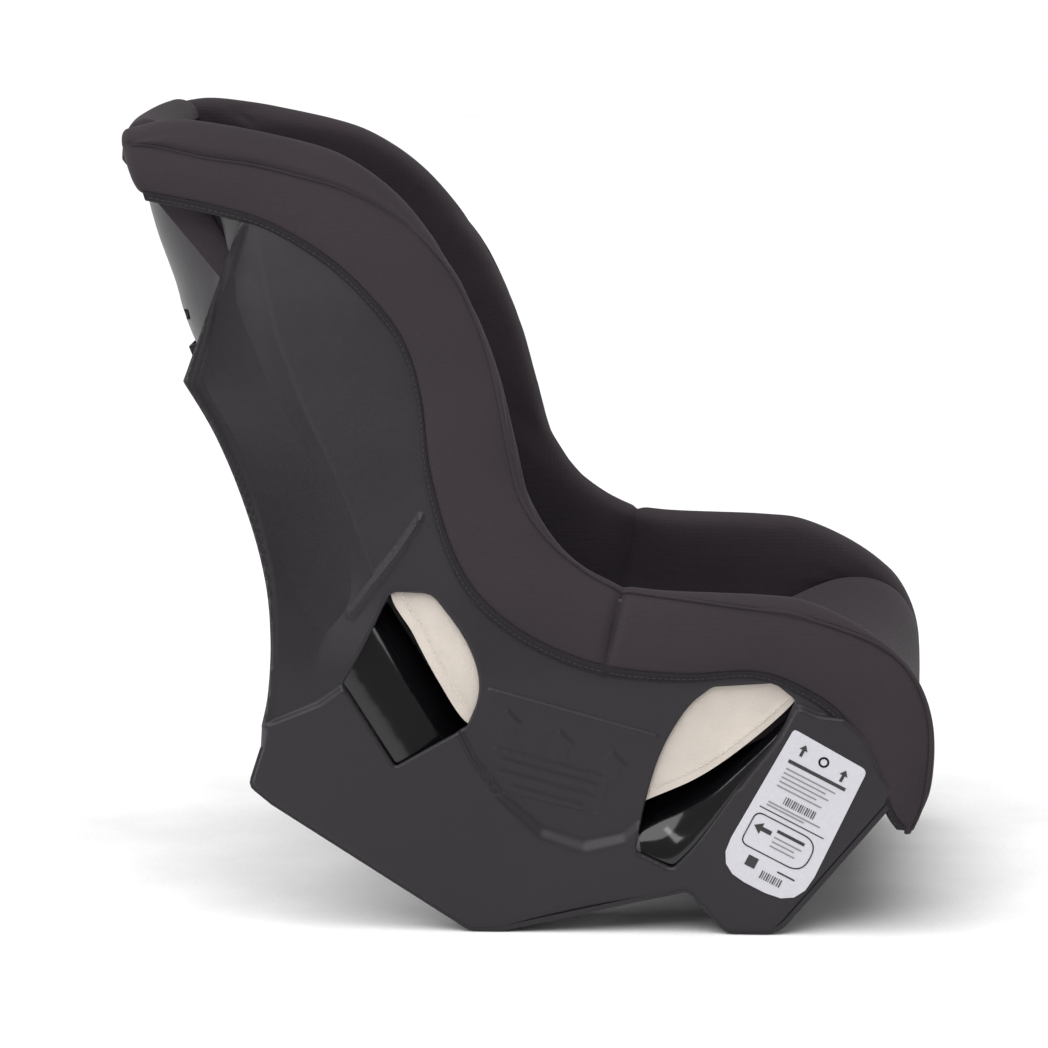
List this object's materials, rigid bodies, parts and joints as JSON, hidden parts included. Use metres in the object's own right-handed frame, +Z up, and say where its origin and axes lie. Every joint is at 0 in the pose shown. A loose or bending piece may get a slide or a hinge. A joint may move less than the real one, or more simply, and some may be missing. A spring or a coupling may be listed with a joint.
{
  "type": "convertible child car seat",
  "caption": "Convertible child car seat: ribbed plastic shell with belt openings, padded cover, harness with buckle and chest clip, stored anchor belt and top tether.",
  "frame": {"origin": "on the floor plane, under the middle of the overall box, on the seat's middle plane", "axes": "+X the way the child faces, +Y the child's left, +Z up; the seat stands on its rear and front feet"},
  "size_m": [0.6014, 0.434, 0.582],
  "materials": {
    "shell": "satin moulded plastic",
    "gloss": "smooth glossy moulded plastic",
    "trim": "smooth moulded plastic",
    "fabric": "fine knit over foam",
    "backing": "cream felted backing",
    "webbing": "woven polyester webbing",
    "steel": "zinc plated",
    "red": "smooth",
    "label": "coated label"
  },
  "bodies": {
    "seat": {"shell_side_right": "shell", "shell_side_left": "shell", "shell_back": "shell", "shell_pan": "shell", "shell_rear_rib": "shell", "shell_front_rib": "shell", "rear_belt_guide_right": "gloss", "rear_belt_guide_left": "gloss", "front_belt_guide_right": "gloss", "front_belt_guide_left": "gloss", "cover_wing_right": "fabric", "cover_wing_left": "fabric", "cover_arm_right": "fabric", "cover_arm_left": "fabric", "cover_backing_right": "backing", "cover_backing_left": "backing", "cover_back": "fabric", "cover_seat": "fabric", "harness_strap_right": "webbing", "harness_strap_left": "webbing", "hip_retainer_right": "steel", "hip_retainer_left": "steel", "splitter_plate": "steel", "buckle_tongue_right": "steel", "buckle_tongue_left": "steel", "buckle_housing": "trim", "buckle_latch": "steel", "buckle_spring": "steel", "crotch_strap": "webbing", "crotch_retainer": "steel", "adjuster_strap": "webbing", "adjuster_housing": "trim", "adjuster_pin": "steel", "anchor_connector_right": "steel", "anchor_connector_left": "steel", "anchor_belt": "webbing", "anchor_adjuster": "trim", "tether_hook": "steel", "tether_strap": "webbing", "tether_anchor": "steel", "tether_adjuster": "trim", "label_right": "label", "label_left": "label"},
    "chest_clip": {"chest_clip_right": "trim", "chest_clip_left": "trim"},
    "harness_button": {"buckle_button": "red"},
    "front_adjuster_lever": {"adjuster_lever": "trim"},
    "connector_gate_right": {"anchor_gate_right": "steel"},
    "connector_gate_left": {"anchor_gate_left": "steel"},
    "belt_release": {"anchor_release": "red"},
    "hook_gate": {"tether_gate": "steel"}
  },
  "joints": [
    {"name": "buckle_button_press", "type": "slide", "parent": "seat", "child": "harness_button", "axis": [-0.7071, 0, -0.7071], "range_m": [0, 0.003], "stiffness_N_per_m": 3000, "springref_m": -0.004, "deforming": ["buckle_spring"]},
    {"name": "chest_clip_slide", "type": "slide", "parent": "seat", "child": "chest_clip", "axis": [-0.8291, 0, 0.5591], "range_m": [-0.025, 0.025]},
    {"name": "adjuster_lever_lift", "type": "hinge", "parent": "seat", "child": "front_adjuster_lever", "pos_m": [0.21679, 0, 0.1742], "axis": [0, -1, 0], "range_deg": [0, 35], "stiffness_Nm_per_rad": 0.06, "springref_deg": -20.05},
    {"name": "connector_gate_right_open", "type": "hinge", "parent": "seat", "child": "connector_gate_right", "pos_m": [0.19779, -0.176, 0.0642], "axis": [-1, 0, 0], "range_deg": [0, 12], "stiffness_Nm_per_rad": 0.02, "springref_deg": -14.32},
    {"name": "connector_gate_left_open", "type": "hinge", "parent": "seat", "child": "connector_gate_left", "pos_m": [0.19779, 0.176, 0.0642], "axis": [1, 0, 0], "range_deg": [0, 12], "stiffness_Nm_per_rad": 0.02, "springref_deg": -14.32},
    {"name": "anchor_release_press", "type": "slide", "parent": "seat", "child": "belt_release", "axis": [-1, 0, 0], "range_m": [0, 0.0015], "stiffness_N_per_m": 1500, "springref_m": -0.003},
    {"name": "tether_gate_open", "type": "hinge", "parent": "seat", "child": "hook_gate", "pos_m": [-0.16221, 0, 0.2469], "axis": [0, 1, 0], "range_deg": [0, 15], "stiffness_Nm_per_rad": 0.02, "springref_deg": -14.32}
  ]
}
